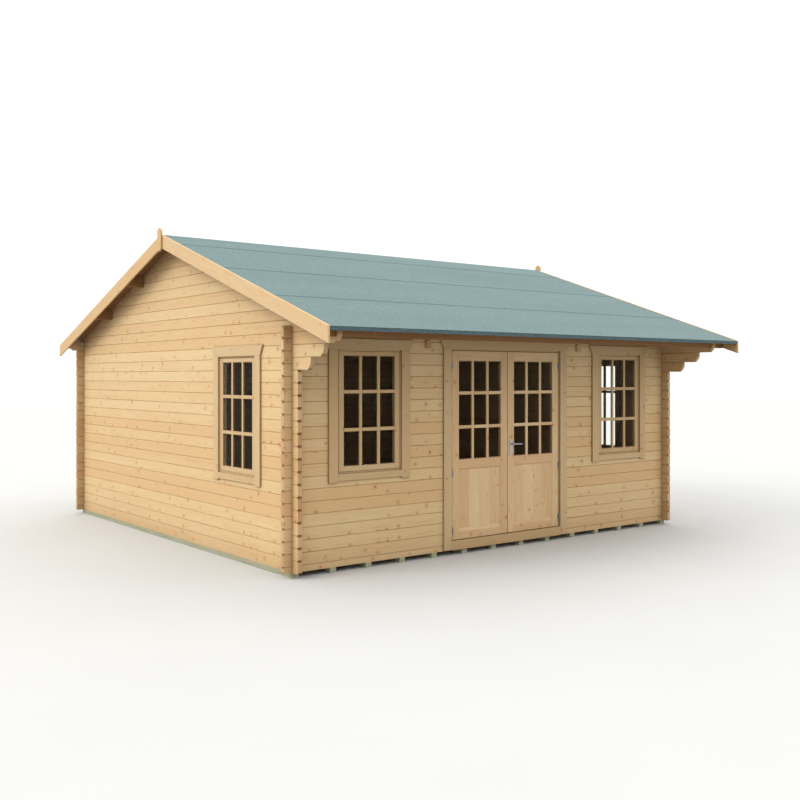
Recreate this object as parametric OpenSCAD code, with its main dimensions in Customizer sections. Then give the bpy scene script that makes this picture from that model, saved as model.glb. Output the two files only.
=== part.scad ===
// Log cabin with a ridge roof, a stepped front canopy, four windows and a double door.
// The origin is on the ground, under the ridge and midway between the barge boards.
// The front faces -Y. All sizes are in millimetres.

/* [Cabin] */
// Width over the outer faces of the side walls
cabin_w = 5340; // [4400:10:6500]
// Depth over the outer faces of the front and back walls
cabin_d = 5340; // [4400:10:6500]
// Height of the roof's underside at the back wall's outer face, above the bearers
eaves_h = 2254; // [2210:1:2800]

/* [Logs] */
// Height of one log
log_h = 114; // [95:1:137]
// Thickness of a log
log_t = 45; // [34:1:54]
// How far a log runs on past a corner
log_end = 92; // [60:1:130]
// Depth of the groove along the joint between two logs
groove_d = 4; // [2:0.5:6]
// Height of the notch between two log ends
notch_h = 26; // [10:1:30]
// Depth of the notch between two log ends
notch_d = 15; // [5:1:20]

/* [Canopy] */
// Roof overhang past the front wall
front_overhang = 900; // [800:5:1100]
// Roof overhang past the back wall
back_overhang = 288; // [200:2:345]
// Roof overhang past each side wall, to the barge board's outer face
side_overhang = 213; // [170:1:300]
// How much further each stepped log reaches than the one below it
corbel_step = 213; // [170:1:230]
// Length of the cut under the nose of a stepped log
corbel_cut_l = 56; // [30:1:68]
// Height of the cut under the nose of a stepped log
corbel_cut_h = 70; // [35:1:84]
// How far that cut bulges past a straight one
corbel_bulge = 6; // [0:1:9]
// How far the eaves beam stands behind the tips of the longest stepped logs
eaves_beam_set = 30; // [25:1:36]
// Gap between the door's head trim and each short beam end on the front wall
beam_end_gap = 123; // [100:1:125]
// Height of the short beam ends' lower edge above the bearers
beam_end_z = 2051; // [1990:1:2080]
// Width of a short beam end
beam_end_w = 60; // [50:1:72]
// Height of a short beam end
beam_end_h = 74; // [61:1:88]

/* [Roof] */
// Roof pitch in degrees
pitch = 18.86; // [15:0.01:22.6]
// Thickness of the roof boards
board_t = 19; // [16:0.5:25]
// Thickness of the roofing felt
felt_t = 3; // [2:0.5:5]
// Width of the ridge sheet on each slope
ridge_sheet_w = 440; // [350:5:530]
// Width of one felt sheet that shows down the slope
felt_sheet_w = 1022; // [850:2:1230]
// How far the felt turns down over the eaves
felt_drip = 36; // [25:1:45]
// Depth of a barge board, measured plumb
barge_h = 147; // [120:1:177]
// Thickness of a barge board
barge_t = 20; // [16:1:25]
// How far a barge board stands above the underside of the roof boards
barge_rise = 30; // [26:1:36]
// Width of the pointed board at each end of the ridge
finial_w = 90; // [75:1:110]
// Height of the pointed board at each end of the ridge
finial_h = 260; // [216:1:312]
// Depth of the purlins, the ridge beam and the eaves beam
purlin_h = 120; // [100:1:144]
// Thickness of the purlins, the ridge beam and the eaves beam
purlin_t = 45; // [38:1:54]
// Distance between the centres of neighbouring purlins, counted from the ridge
purlin_pitch = 976; // [813:1:1150]
// Gap between the beams' tops and the roof boards that lie on them
roof_seat = 0.2; // [0.1:0.05:0.4]

/* [Floor] */
// Number of bearers
bearer_count = 14; // [10:1:16]
// Width of a bearer
bearer_w = 66; // [55:1:80]
// Height of a bearer
bearer_h = 50; // [40:1:60]
// Thickness of the floor boards
floor_t = 19; // [16:1:23]

/* [Windows] */
// Width of a window sash
sash_w = 712; // [600:1:840]
// Height of a window sash
sash_h = 1127; // [940:1:1170]
// Height of the front sashes' lower edge above the bearers
front_sash_z = 877; // [731:1:920]
// Height of the side sashes' lower edge above the bearers
side_sash_z = 820; // [700:1:920]
// Distance a front window lies out from midway between the door's head trim and the side wall
front_window_off = 26.25; // [0:0.25:50]
// Distance from the front wall's outer face to the middle of a side window
side_window_y = 1036; // [870:1:1240]
// Width of a sash stile
sash_stile = 56; // [46:1:67]
// Height of a sash's top rail
sash_top = 39; // [33:1:47]
// Height of a sash's bottom rail
sash_bottom = 49; // [41:1:59]
// Width of a glazing bar in a window
window_bar = 33; // [28:1:40]
// Thickness of a sash
sash_t = 40; // [36:1:48]
// Panes across and up in each window and door
panes = 3; // [2:1:4]

/* [Doors] */
// Width of the doorway between the jambs
doorway_w = 1573; // [1311:1:1888]
// Height of the threshold board above the bearers
threshold_h = 95; // [79:1:114]
// Height of the door leaves' top edge above the bearers
leaf_top = 2030; // [1900:1:2060]
// Thickness of a door leaf
leaf_t = 40; // [36:1:48]
// Width of a door stile
door_stile = 94; // [80:1:112]
// Height of a door's top rail
door_top = 100; // [83:1:120]
// Height of a door's middle rail
door_mid = 92; // [77:1:110]
// Height of a door's bottom rail
door_bottom = 76; // [64:1:91]
// Height of the glazed part of a door
door_glass_h = 1014; // [845:1:1080]
// Width of a glazing bar in a door
door_bar = 33; // [28:1:40]
// Thickness of the door's lower panel
panel_t = 16; // [13:1:19]
// Gap round each door leaf
door_gap = 6; // [5:0.5:7]

/* [Joinery] */
// Thickness of the jambs that line an opening
jamb_t = 22; // [18:1:26]
// Gap between a window sash and its jambs
sash_gap = 3; // [2:0.5:4]
// Width of the step that a sash or leaf closes against
stop_w = 12; // [10:1:14]
// Width of the trim boards
trim_w = 101; // [84:1:121]
// Thickness of the trim boards
trim_t = 20; // [16:1:24]
// How far a trim board's inner edge stands back from the sash or leaf
trim_reveal = 18; // [15:1:21]
// How far the head trim's upper corners flare past the side trims
head_flare = 47; // [39:1:56]
// Height of the board under a window
sill_trim_h = 64; // [53:1:77]
// How far the side trims of a window run on below the board under it
leg_drop = 15; // [12:1:18]
// Thickness of the glass
glass_t = 4; // [3:0.5:5]
// How far the glass lies behind the outer face of a sash or leaf
glass_recess = 5; // [4:0.5:6]
// Thickness of the bars on the inner face of the glass
inner_bar_t = 14; // [12:0.5:17]

/* [Hardware] */
// Outer radius of a hinge barrel
hinge_r = 7.5; // [6.5:0.5:9]
// Radius of a hinge pin
hinge_pin_r = 3.5; // [3:0.5:4]
// Height of a hinge
hinge_h = 70; // [60:1:84]
// How far the hinge pins stand in front of the leaves
hinge_out = 10; // [9.5:0.5:11]
// Height of the lowest hinge above a leaf's lower edge
hinge_low = 60; // [50:1:72]
// Height of the middle hinge above a leaf's lower edge
hinge_mid = 640; // [533:1:768]
// How far the highest hinge's lower end lies below a leaf's top
hinge_high = 190; // [158:1:228]
// Length of the tab that fixes half a hinge
hinge_tab = 14; // [12:0.5:17]
// Gap between the two halves of a hinge
hinge_split = 1; // [0.5:0.1:1.5]
// How far the pin stops short of the hinge's upper end
pin_short = 8; // [6:1:10]
// Running clearance of pins and spindles
running_gap = 0.06; // [0.05:0.01:0.09]
// Width of the handle's plate
plate_w = 44; // [36:1:52]
// Height of the handle's plate
plate_h = 160; // [133:1:192]
// Thickness of the handle's plate
plate_t = 4; // [3:1:5]
// Height of the lever's spindle above the bearers
lever_z = 1045; // [960:1:1150]
// Length of the lever
lever_l = 130; // [108:1:156]
// Radius of the lever's spindle and neck
spindle_r = 8; // [7:0.5:9]
// Gap round the spindle where it passes through the leaf
spindle_gap = 3; // [2:0.5:4]
// Height of the lever's arm
lever_arm_h = 18; // [17:1:21]
// Thickness of the lever's arm
lever_arm_t = 12; // [10:1:14]
// How far the lever's arm stands out from its plate
lever_out = 38; // [32:1:45]
// How far the handle's plate reaches below the spindle
plate_below = 117; // [98:1:140]

/* [Hidden] */
$fn = 48;

pine = "burlywood";
pale_pine = "wheat";
board_pine = "tan";
treated = "darkkhaki";
felt_grey = "cadetblue";
pane = [0.35, 0.4, 0.45, 0.5];
steel = "silver";

// Places across and along the cabin
wall_x = cabin_w / 2;
wall_mid_y = (front_overhang - back_overhang) / 2;
front_y = wall_mid_y - cabin_d / 2;
back_y = wall_mid_y + cabin_d / 2;
roof_y = back_y + back_overhang;
barge_x = wall_x + side_overhang;
barge_in_x = barge_x - barge_t;

// Heights of the roof's underside, above the bearers
fall = tan(pitch);
ridge_z = eaves_h + back_y * fall;
function under(y) = ridge_z - abs(y) * fall;
board_v = board_t / cos(pitch);
felt_v = felt_t / cos(pitch);
felt_top = board_v + felt_v;

// Log courses: side walls start with a whole log, front and back walls with half a log
top_joint = (floor(eaves_h / log_h - 0.5) + 0.5) * log_h;
gable_z = (floor(eaves_h / log_h) + 1) * log_h;
corbel_count = 3;
nose_steps = 6;
corbel_tip_y = front_y - log_end - corbel_count * corbel_step;
corbel_course = floor(under(corbel_tip_y) / log_h) - 1;
corner_courses = floor(top_joint / log_h);
far = 2 * (cabin_w + cabin_d);

// Joinery
window_open_w = sash_w + 2 * (sash_gap + jamb_t);
window_open_h = sash_h + 2 * (sash_gap + jamb_t);
stop_d = 25;
leaf_w = (doorway_w - 3 * door_gap) / 2;
leaf_z = threshold_h + door_gap;
leaf_h = leaf_top - leaf_z;
head_z = leaf_top + door_gap;
door_open_w = doorway_w + 2 * jamb_t;
door_open_h = head_z + jamb_t;
frame_d = log_t + stop_d;
door_glass_w = leaf_w - 2 * door_stile;
door_trim_in = leaf_w + door_gap / 2 + trim_reveal;
door_trim_out = door_trim_in + trim_w;
front_window_x = (door_trim_out + head_flare + wall_x - log_t) / 2 + front_window_off;
door_glass_z = leaf_top - door_top - door_glass_h;
panel_z = leaf_z + door_bottom;
panel_h = door_glass_z - door_mid - panel_z;
edge_bevel = 4;

// Hinges and handle
hinge_x = doorway_w / 2 - door_gap / 2;
hinge_y = front_y - hinge_out;
hinge_zs = [leaf_z + hinge_low, leaf_z + hinge_mid, leaf_top - hinge_high];
hinge_half = (hinge_h - hinge_split) / 2;
handle_x = door_gap / 2 + door_stile / 2;

// Extrudes an outline given as [Y, Z] points along X, from x0 to x1
module along_x(x0, x1) {
    translate([x0, 0, 0]) rotate([90, 0, 90]) linear_extrude(x1 - x0) children();
}

// Extrudes an outline given as [X, Z] points along Y, from y0 to y1
module along_y(y0, y1) {
    translate([0, y1, 0]) rotate([90, 0, 0]) linear_extrude(y1 - y0) children();
}

// Lifts what stands on the bearers
module on_bearers() {
    translate([0, 0, bearer_h]) children();
}

module rect(x0, z0, x1, z1) {
    translate([x0, z0]) square([x1 - x0, z1 - z0]);
}

// One log end to end in elevation, with the notches at its two ends
module log_outline(a0, a1, z0, z1) {
    n = notch_h / 2;
    polygon([
        [a0 + notch_d, z0], [a1 - notch_d, z0], [a1, z0 + n], [a1, z1 - n],
        [a1 - notch_d, z1], [a0 + notch_d, z1], [a0, z1 - n], [a0, z0 + n]
    ]);
}

// The rounded cut under a log's nose, from its lower end up to the tip: inward is the
// direction back along the log
function nose(tip, inward, z0) = [
    for (i = [0:nose_steps])
        let (t = i / nose_steps, out = 4 * corbel_bulge * t * (1 - t))
        [tip + inward * (corbel_cut_l * (1 - t) - out), z0 + corbel_cut_h * t - out]
];

// A log with a nose at both ends, as the back wall's top log
module nosed_log(a0, a1, z0, z1) {
    right_nose = nose(a1, -1, z0);
    left_nose = nose(a0, 1, z0);
    polygon(concat(
        right_nose, [[a1, z1], [a0, z1]],
        [for (i = [nose_steps:-1:0]) left_nose[i]]));
}

// Everything under the roof's underside, as [Y, Z] points
module under_roof() {
    polygon([
        [-far, under(far)], [-far, -far], [far, -far], [far, under(far)], [0, ridge_z]
    ]);
}

// Section through a wall: a groove on both faces at each joint
module wall_section(joints, outer_top, inner_top) {
    outer = [for (j = joints) each [
        [0, j - groove_d], [groove_d, j], [0, j + groove_d]]];
    inner = [for (i = [len(joints) - 1:-1:0]) each [
        [log_t, joints[i] + groove_d], [log_t - groove_d, joints[i]],
        [log_t, joints[i] - groove_d]]];
    polygon(concat([[0, 0]], outer, [[0, outer_top], [log_t, inner_top]], inner, [[log_t, 0]]));
}

// Front and back walls as [X, Z] outlines
module cross_wall_outline(top_end) {
    for (k = [-1:corner_courses - 2]) {
        z0 = max(0, (k + 0.5) * log_h);
        log_outline(-wall_x - log_end, wall_x + log_end, z0, (k + 1.5) * log_h);
    }
    top_x = wall_x + top_end;
    if (top_end > log_end) nosed_log(-top_x, top_x, top_joint - log_h, top_joint);
    else log_outline(-top_x, top_x, top_joint - log_h, top_joint);
    rect(-wall_x + log_t, top_joint - 1, wall_x - log_t, far);
}

// A cross wall's logs as one bar along X: inward is 1 at the front and -1 at the back
module cross_logs(y_outer, inward, x0, x1) {
    joints = [for (k = [0:ceil(ridge_z / log_h)])
        if ((k + 0.5) * log_h < under(y_outer) - groove_d) (k + 0.5) * log_h];
    translate([0, y_outer, 0]) mirror([0, inward < 0 ? 1 : 0, 0]) along_x(x0, x1)
        wall_section(joints, under(y_outer), under(y_outer + inward * log_t));
}

// Cross-wall logs keep their middle half in a corner, and the side logs pass between
module cross_wall(y_outer, inward, top_end) {
    difference() {
        intersection() {
            cross_logs(y_outer, inward, -far, far);
            along_y(y_outer - far, y_outer + far) cross_wall_outline(top_end);
        }
        for (k = [0:corner_courses], side = [-1, 1]) {
            z0 = (k + 0.25) * log_h;
            z1 = min((k + 0.75) * log_h, top_joint);
            if (z0 < top_joint)
                translate([side * (wall_x - log_t / 2), y_outer, (z0 + z1) / 2])
                    cube([log_t, 4 * log_t, z1 - z0], center = true);
        }
    }
}

// Left wall and gable as [Y, Z] outlines
module side_wall_outline() {
    y0 = front_y - log_end;
    y1 = back_y + log_end;
    for (k = [0:ceil(gable_z / log_h) - 1]) {
        step = k - corbel_course + corbel_count;
        z0 = k * log_h;
        z1 = z0 + log_h;
        if (step <= 0) log_outline(y0, y1, z0, z1);
        else {
            tip = y0 - min(step, corbel_count) * corbel_step;
            front = step > corbel_count ? [[tip, z0]] : nose(tip, 1, z0);
            polygon(concat(
                [[y1 - notch_d, z0], [y1, z0 + notch_h / 2],
                 [y1, z1 - notch_h / 2], [y1 - notch_d, z1], [tip, z1]],
                [for (i = [len(front) - 1:-1:0]) front[i]]));
        }
    }
}

// Holes in the side walls where the beams pass through to the barge boards
module beam_section(y, top_extra = 0) {
    low = min(under(y - purlin_t / 2), under(y + purlin_t / 2));
    polygon(concat(
        [[y - purlin_t / 2, low - purlin_h], [y + purlin_t / 2, low - purlin_h],
         [y + purlin_t / 2, under(y + purlin_t / 2) + top_extra]],
        y == 0 ? [[0, ridge_z + top_extra]] : [],
        [[y - purlin_t / 2, under(y - purlin_t / 2) + top_extra]]));
}

eaves_beam_y = corbel_tip_y + eaves_beam_set + purlin_t / 2;
purlin_ys = [for (k = [-2:2]) if (k != 0) k * purlin_pitch];

// The left wall's logs, cut for the cross walls' logs at both corners
module side_logs() {
    joints = [for (k = [1:floor((ridge_z - groove_d) / log_h)]) k * log_h];
    difference() {
        intersection() {
            translate([-wall_x, 0, 0]) along_y(-far, far)
                wall_section(joints, far, far);
            along_x(-far, far) intersection() {
                children();
                under_roof();
            }
        }
        for (k = [0:corner_courses], y = [front_y + log_t / 2, back_y - log_t / 2]) {
            z0 = (k - 0.25) * log_h;
            z1 = (k + 0.25) * log_h;
            if (z1 < top_joint)
                translate([-wall_x, y, (z0 + z1) / 2])
                    cube([4 * log_t, log_t, z1 - z0], center = true);
        }
        along_x(-far, far) for (y = concat(purlin_ys, [0, eaves_beam_y]))
            beam_section(y, log_h);
    }
}

module side_wall() {
    on_bearers() difference() {
        side_logs() side_wall_outline();
        window_cut_side();
    }
}

module gable() {
    on_bearers() side_logs() rect(-far, gable_z, far, far);
}

// The hole that a window's jambs line
module window_hole(x, sash_z) {
    z0 = sash_z - sash_gap - jamb_t;
    rect(x - window_open_w / 2, z0, x + window_open_w / 2, z0 + window_open_h);
}

module window_cut_side() {
    along_x(-far, far) window_hole(front_y + side_window_y, side_sash_z);
}

module front_wall() {
    difference() {
        cross_wall(front_y, 1, log_end);
        along_y(-far, far) {
            for (side = [-1, 1]) window_hole(side * front_window_x, front_sash_z);
            rect(-door_open_w / 2, -1, door_open_w / 2, door_open_h);
        }
    }
}

module front_wall_left() {
    color(pine) on_bearers() intersection() {
        front_wall();
        along_y(-far, far) rect(-far, 0, -door_open_w / 2, far);
    }
}

module front_wall_right() {
    color(pine) on_bearers() intersection() {
        front_wall();
        along_y(-far, far) rect(door_open_w / 2, 0, far, far);
    }
}

module front_wall_header() {
    half = door_open_w / 2;
    color(pine) on_bearers() intersection() {
        cross_logs(front_y, 1, -half, half);
        along_y(-far, far) rect(-half, door_open_h, half, far);
    }
}

module back_wall() {
    color(pine) on_bearers() cross_wall(back_y, -1, barge_in_x - wall_x);
}

module left_wall() { color(pine) side_wall(); }
module right_wall() { color(pine) mirror([1, 0, 0]) side_wall(); }
module left_gable() { color(pale_pine) gable(); }
module right_gable() { color(pale_pine) mirror([1, 0, 0]) gable(); }

module floor_bearers() {
    pitch_x = (cabin_w - bearer_w) / (bearer_count - 1);
    color(treated) for (i = [0:bearer_count - 1])
        translate([-wall_x + i * pitch_x, front_y, 0]) cube([bearer_w, cabin_d, bearer_h]);
}

module floor_boards() {
    color(board_pine) difference() {
        translate([-wall_x + log_t, front_y + log_t, bearer_h])
            cube([cabin_w - 2 * log_t, cabin_d - 2 * log_t, floor_t]);
        translate([-door_open_w / 2, front_y, bearer_h - 1])
            cube([door_open_w, frame_d, floor_t + 2]);
    }
}

module beam(y) {
    on_bearers() along_x(-barge_in_x, barge_in_x) beam_section(y, -roof_seat);
}

module ridge_beam() { color(board_pine) beam(0); }
module purlins() { color(board_pine) for (y = purlin_ys) beam(y); }
module eaves_beam() { color(board_pine) beam(eaves_beam_y); }

// Short beam ends that show on the front wall between the door and the windows
module beam_ends() {
    beam_end_x = door_trim_out + head_flare + beam_end_gap + beam_end_w / 2;
    color(pine) on_bearers() for (side = [-1, 1])
        translate([side * beam_end_x - beam_end_w / 2, front_y - trim_t, beam_end_z])
            cube([beam_end_w, trim_t, beam_end_h]);
}

// A layer of the roof on the slope that falls to +Y, as [distance, height] points
// above the roof's underside
module slope_layer(points) {
    along_x(-barge_in_x, barge_in_x)
        polygon([for (p = points) [p[0], under(p[0]) + p[1]]]);
}

eave_gap = 10;
board_end_y = roof_y - eave_gap;

module roof_slope() {
    on_bearers() slope_layer([[0, 0], [board_end_y, 0], [board_end_y, board_v], [0, board_v]]);
}

// One slope's felt: each sheet laps over the one below it
module felt_slope() {
    first_lap = ridge_sheet_w + felt_sheet_w;
    lap_w = 120;
    laps = [for (s = [first_lap, first_lap + felt_sheet_w])
        if (s * cos(pitch) < board_end_y - lap_w) s * cos(pitch)];
    steps = [for (y = laps) each [
        [y - lap_w, felt_top], [y, felt_top + felt_v], [y, felt_top]]];
    on_bearers() slope_layer(concat(
        [[0, board_v], [0, felt_top]], steps,
        [[board_end_y + felt_t, felt_top], [board_end_y + felt_t, felt_top - felt_drip],
         [board_end_y, felt_top - felt_drip], [board_end_y, board_v]]));
}

module roof_boards_front() { color(board_pine) mirror([0, 1, 0]) roof_slope(); }
module roof_boards_back() { color(board_pine) roof_slope(); }
module felt_front() { color(felt_grey) mirror([0, 1, 0]) felt_slope(); }
module felt_back() { color(felt_grey) felt_slope(); }

module ridge_felt() {
    edge = ridge_sheet_w * cos(pitch);
    color(felt_grey) on_bearers() along_x(-barge_in_x, barge_in_x) polygon([
        [-edge, under(edge) + felt_top], [0, ridge_z + felt_top], [edge, under(edge) + felt_top],
        [edge, under(edge) + felt_top + felt_v], [0, ridge_z + felt_top + felt_v],
        [-edge, under(edge) + felt_top + felt_v]
    ]);
}

module barge_boards() {
    apex_gap = 1;
    color(pale_pine) on_bearers() along_x(barge_in_x, barge_x)
        for (side = [-1, 1]) polygon([
            [side * apex_gap, ridge_z + barge_rise],
            [side * roof_y, under(roof_y) + barge_rise],
            [side * roof_y, under(roof_y) + barge_rise - barge_h],
            [side * apex_gap, ridge_z + barge_rise - barge_h]
        ]);
}

module left_barge_boards() { mirror([1, 0, 0]) barge_boards(); }
module right_barge_boards() { barge_boards(); }

module finials() {
    above = 70;
    tip = finial_w / 3;
    top = ridge_z + barge_rise + above;
    bottom = top - finial_h;
    w = finial_w / 2;
    color(pale_pine) on_bearers() for (side = [0, 1]) mirror([side, 0, 0])
        along_x(barge_x, barge_x + barge_t) polygon([
            [-w, top - tip], [0, top], [w, top - tip],
            [w, bottom + tip], [0, bottom], [-w, bottom + tip]
        ]);
}

// Head trim with flared ends: half_w is to the side trims' outer edges
module head_trim(half_w, z) {
    polygon([
        [-half_w, z], [half_w, z],
        [half_w + head_flare, z + trim_w], [-half_w - head_flare, z + trim_w]
    ]);
}

// A window is drawn facing -Y: outer wall face at y = 0, sash's lower edge at z = 0
module window_frame() {
    out = sash_gap + jamb_t;
    stop = stop_w - sash_gap;
    trim_in = sash_w / 2 + trim_reveal;
    trim_out = trim_in + trim_w;
    trim_low = -trim_reveal - sill_trim_h;
    along_y(0, sash_t) difference() {
        rect(-sash_w / 2 - out, -out, sash_w / 2 + out, sash_h + out);
        rect(-sash_w / 2 - sash_gap, -sash_gap, sash_w / 2 + sash_gap, sash_h + sash_gap);
    }
    along_y(sash_t, frame_d) difference() {
        rect(-sash_w / 2 - out, -out, sash_w / 2 + out, sash_h + out);
        rect(-sash_w / 2 + stop, stop, sash_w / 2 - stop, sash_h - stop);
    }
    along_y(-trim_t, 0) {
        head_trim(trim_out, sash_h + trim_reveal);
        for (side = [0, 1]) mirror([side, 0])
            rect(trim_in, trim_low - leg_drop, trim_out, sash_h + trim_reveal + trim_w / 2);
        rect(-trim_in, trim_low, trim_in, -trim_reveal);
    }
}

// Bars across an opening, in front of and behind the glass
module glazing_bars(w, h, bar) {
    pane_w = (w - (panes - 1) * bar) / panes;
    pane_h = (h - (panes - 1) * bar) / panes;
    behind = glass_recess + glass_t;
    for (y = [[0, glass_recess], [behind, behind + inner_bar_t]]) along_y(y[0], y[1]) {
        for (i = [1:panes - 1]) {
            rect(i * pane_w + (i - 1) * bar, 0, i * (pane_w + bar), h);
            rect(0, i * pane_h + (i - 1) * bar, w, i * (pane_h + bar));
        }
    }
}

module window_sash() {
    glass_w = sash_w - 2 * sash_stile;
    glass_h = sash_h - sash_top - sash_bottom;
    along_y(0, sash_t) difference() {
        rect(-sash_w / 2, 0, sash_w / 2, sash_h);
        rect(-glass_w / 2, sash_bottom, glass_w / 2, sash_bottom + glass_h);
    }
    translate([-glass_w / 2, 0, sash_bottom])
        glazing_bars(glass_w, glass_h, window_bar);
}

module window_glass() {
    glass_w = sash_w - 2 * sash_stile;
    along_y(glass_recess, glass_recess + glass_t)
        rect(-glass_w / 2, sash_bottom, glass_w / 2, sash_h - sash_top);
}

// Places a window: side is -1 for left and 1 for right
module in_front(side) {
    translate([side * front_window_x, front_y, bearer_h + front_sash_z]) children();
}
module in_side(side) {
    translate([side * wall_x, front_y + side_window_y, bearer_h + side_sash_z])
        rotate([0, 0, side * 90]) children();
}

module front_left_window_frame() { color(pale_pine) in_front(-1) window_frame(); }
module front_left_window_sash() { color(pale_pine) in_front(-1) window_sash(); }
module front_left_window_glass() { color(pane) in_front(-1) window_glass(); }
module front_right_window_frame() { color(pale_pine) in_front(1) window_frame(); }
module front_right_window_sash() { color(pale_pine) in_front(1) window_sash(); }
module front_right_window_glass() { color(pane) in_front(1) window_glass(); }
module left_window_frame() { color(pale_pine) in_side(-1) window_frame(); }
module left_window_sash() { color(pale_pine) in_side(-1) window_sash(); }
module left_window_glass() { color(pane) in_side(-1) window_glass(); }
module right_window_frame() { color(pale_pine) in_side(1) window_frame(); }
module right_window_sash() { color(pale_pine) in_side(1) window_sash(); }
module right_window_glass() { color(pane) in_side(1) window_glass(); }

// Lining of the doorway: jambs and head with a stop behind the leaves, and the threshold
module door_frame() {
    out = door_open_w / 2;
    half = doorway_w / 2;
    color(pine) on_bearers() translate([0, front_y, 0]) {
        along_y(0, leaf_t + door_gap) difference() {
            rect(-out, 0, out, door_open_h);
            rect(-half, threshold_h, half, head_z);
        }
        along_y(leaf_t + door_gap, frame_d) difference() {
            rect(-out, 0, out, door_open_h);
            rect(-half + stop_w, threshold_h, half - stop_w, head_z - stop_w);
        }
        along_y(-trim_t, 0) rect(-door_trim_in, 0, door_trim_in, threshold_h);
    }
}

module door_trim() {
    trim_top = leaf_top + trim_reveal;
    leg_low = 5;
    color(pale_pine) on_bearers() translate([0, front_y, 0]) along_y(-trim_t, 0) difference() {
        union() {
            head_trim(door_trim_out, trim_top);
            rect(-door_trim_out, leg_low, door_trim_out, trim_top + trim_w / 2);
        }
        rect(-door_trim_in, 0, door_trim_in, trim_top);
    }
}

// The right leaf, with its meeting edge bevelled at the back
module door_leaf() {
    x0 = door_gap / 2;
    x1 = x0 + leaf_w;
    gx0 = x0 + door_stile;
    gx1 = x1 - door_stile;
    on_bearers() translate([0, front_y, 0]) {
        difference() {
            along_y(0, leaf_t) difference() {
                rect(x0, leaf_z, x1, leaf_top);
                rect(gx0, door_glass_z, gx1, door_glass_z + door_glass_h);
                rect(gx0, panel_z, gx1, panel_z + panel_h);
            }
            translate([0, 0, leaf_z - 1]) linear_extrude(leaf_h + 2) polygon([
                [x0 - 1, 0], [x0, 0], [x0 + edge_bevel, leaf_t], [x0 - 1, leaf_t]
            ]);
            translate([handle_x, leaf_t / 2, lever_z]) rotate([90, 0, 0])
                cylinder(r = spindle_r + spindle_gap, h = 2 * leaf_t, center = true);
        }
        along_y(leaf_t / 2 - panel_t / 2, leaf_t / 2 + panel_t / 2)
            rect(gx0, panel_z, gx1, panel_z + panel_h);
        translate([gx0, 0, door_glass_z])
            glazing_bars(door_glass_w, door_glass_h, door_bar);
    }
}

module door_glass() {
    x0 = door_gap / 2 + door_stile;
    y0 = front_y + glass_recess;
    on_bearers() along_y(y0, y0 + glass_t)
        rect(x0, door_glass_z, x0 + door_glass_w, door_glass_z + door_glass_h);
}

// Leaf half of each hinge: the upper barrel, bored for the pin, and its tab
module leaf_hinges() {
    bore_h = hinge_half - pin_short / 2;
    on_bearers() for (z = hinge_zs)
        translate([hinge_x, hinge_y, z + hinge_h - hinge_half]) difference() {
            union() {
                cylinder(r = hinge_r, h = hinge_half);
                translate([-hinge_tab, hinge_out / 2, 0])
                    cube([hinge_tab, hinge_out / 2, hinge_half]);
            }
            translate([0, 0, -1]) cylinder(r = hinge_pin_r + running_gap, h = bore_h + 1);
        }
}

// Frame half of each hinge: the lower barrel with its pin, and its tab
module frame_hinge_set() {
    on_bearers() for (z = hinge_zs) translate([hinge_x, hinge_y, z]) {
        cylinder(r = hinge_r, h = hinge_half);
        cylinder(r = hinge_pin_r, h = hinge_h - pin_short);
        translate([0, hinge_out / 2, 0]) cube([hinge_tab, hinge_out / 2, hinge_half]);
    }
}

module door_frame_hinges() {
    color(steel) for (side = [0, 1]) mirror([side, 0, 0]) frame_hinge_set();
}

module left_door_leaf() { color(pale_pine) mirror([1, 0, 0]) door_leaf(); }
module right_door_leaf() { color(pale_pine) door_leaf(); }
module left_door_glass() { color(pane) mirror([1, 0, 0]) door_glass(); }
module right_door_glass() { color(pane) door_glass(); }
module left_door_hinges() { color(steel) mirror([1, 0, 0]) leaf_hinges(); }
module right_door_hinges() { color(steel) leaf_hinges(); }

// Plates on both faces of the right leaf, bored for the spindle
module door_handle_plates() {
    color(steel) on_bearers() for (y = [front_y - plate_t, front_y + leaf_t])
        difference() {
            along_y(y, y + plate_t)
                rect(handle_x - plate_w / 2, lever_z - plate_below,
                     handle_x + plate_w / 2, lever_z - plate_below + plate_h);
            translate([handle_x, y - 1, lever_z]) rotate([-90, 0, 0])
                cylinder(r = spindle_r + running_gap, h = plate_t + 2);
        }
}

// Spindle with a lever at each end
module door_lever() {
    y_out = front_y - plate_t - lever_out;
    y_in = front_y + leaf_t + plate_t + lever_out;
    r = lever_arm_h / 2;
    color(steel) on_bearers() translate([handle_x, 0, lever_z]) {
        translate([0, y_out, 0]) rotate([-90, 0, 0]) cylinder(r = spindle_r, h = y_in - y_out);
        for (y = [y_out - lever_arm_t, y_in]) along_y(y, y + lever_arm_t) {
            circle(r = r);
            translate([lever_l - r, 0]) circle(r = r);
            rect(0, -r, lever_l - r, r);
        }
    }
}

floor_bearers();
floor_boards();
front_wall_left();
front_wall_right();
front_wall_header();
back_wall();
left_wall();
right_wall();
left_gable();
right_gable();
ridge_beam();
purlins();
eaves_beam();
roof_boards_front();
roof_boards_back();
felt_front();
felt_back();
ridge_felt();
left_barge_boards();
right_barge_boards();
finials();
beam_ends();
front_left_window_frame();
front_left_window_sash();
front_left_window_glass();
front_right_window_frame();
front_right_window_sash();
front_right_window_glass();
left_window_frame();
left_window_sash();
left_window_glass();
right_window_frame();
right_window_sash();
right_window_glass();
door_frame();
door_trim();
door_frame_hinges();
left_door_leaf();
left_door_glass();
left_door_hinges();
right_door_leaf();
right_door_glass();
right_door_hinges();
door_handle_plates();
door_lever();
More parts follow.
